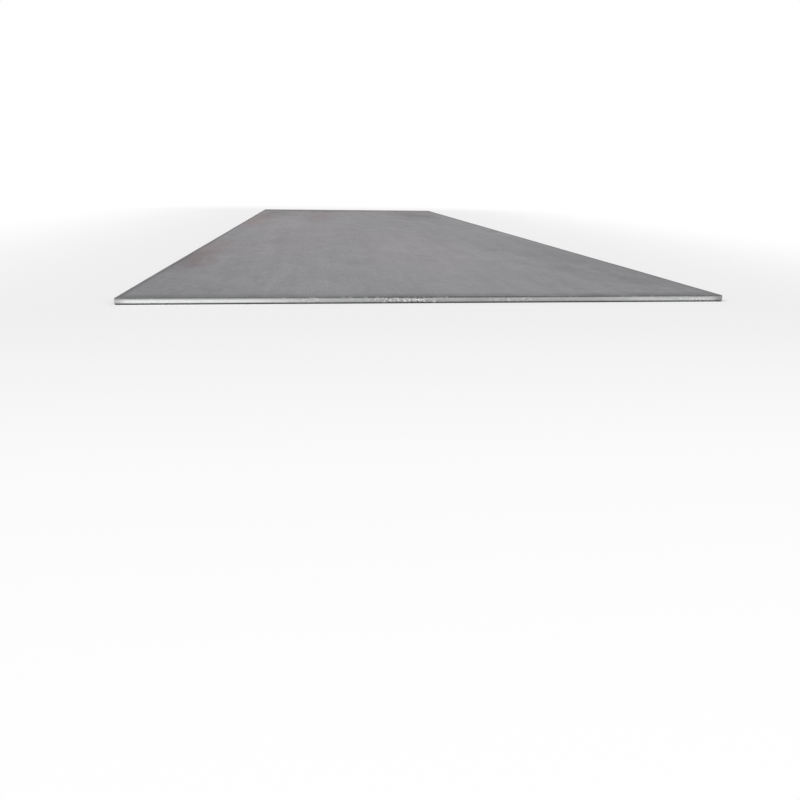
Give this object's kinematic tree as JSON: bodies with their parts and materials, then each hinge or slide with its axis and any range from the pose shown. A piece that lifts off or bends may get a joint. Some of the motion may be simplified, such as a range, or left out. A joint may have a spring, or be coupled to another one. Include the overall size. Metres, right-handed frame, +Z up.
{
  "type": "steel plate",
  "caption": "Hot-rolled steel plate, a long flat rectangle of raw stock with rounded mill side edges and sheared ends, to be cut, welded or stacked.",
  "frame": {"origin": "centre of the underside", "axes": "+Y along the rolling direction, which is the plate's length; +X across its width; +Z up, out of the upper face"},
  "size_m": [1.8, 6, 0.02],
  "materials": {
    "hot_rolled_steel": "dull grey mill scale, with bright bare metal on the sheared ends"
  },
  "bodies": {
    "root": {"steel_plate": "hot_rolled_steel"}
  },
  "joints": []
}
